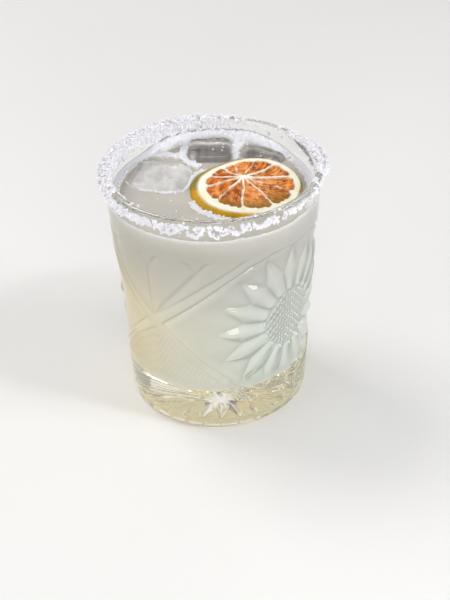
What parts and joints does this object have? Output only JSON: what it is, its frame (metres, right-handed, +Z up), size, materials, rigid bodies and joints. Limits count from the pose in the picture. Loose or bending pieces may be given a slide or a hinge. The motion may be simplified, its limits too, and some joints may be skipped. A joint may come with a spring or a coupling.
{
  "type": "margarita cocktail in a glass",
  "caption": "Tapered pressed-glass tumbler with a salted rim, filled nearly to the top with cloudy lime cocktail, ice and a floating dried citrus wheel.",
  "frame": {"origin": "middle of the underside of the glass, on the surface it stands on", "axes": "+Z up along the glass's axis, -Y towards the side that the picture shows, +X to the right in it"},
  "size_m": [0.0951, 0.0937, 0.108],
  "materials": {
    "glass": "clear pressed glass with a faint warm tint, polished",
    "salt": "crust of coarse white salt, sparkling",
    "drink": "cloudy pale lime juice, wet surface",
    "citrus": "dried fruit, wrinkled, cream pith and amber rind",
    "ice": "clear melting ice, wet"
  },
  "bodies": {
    "root": {"tumbler": "glass", "salt_rim": "salt", "drink": "drink", "citrus_wheel": "citrus", "ice_left": "ice", "ice_back": "ice", "ice_right": "ice"}
  },
  "joints": []
}
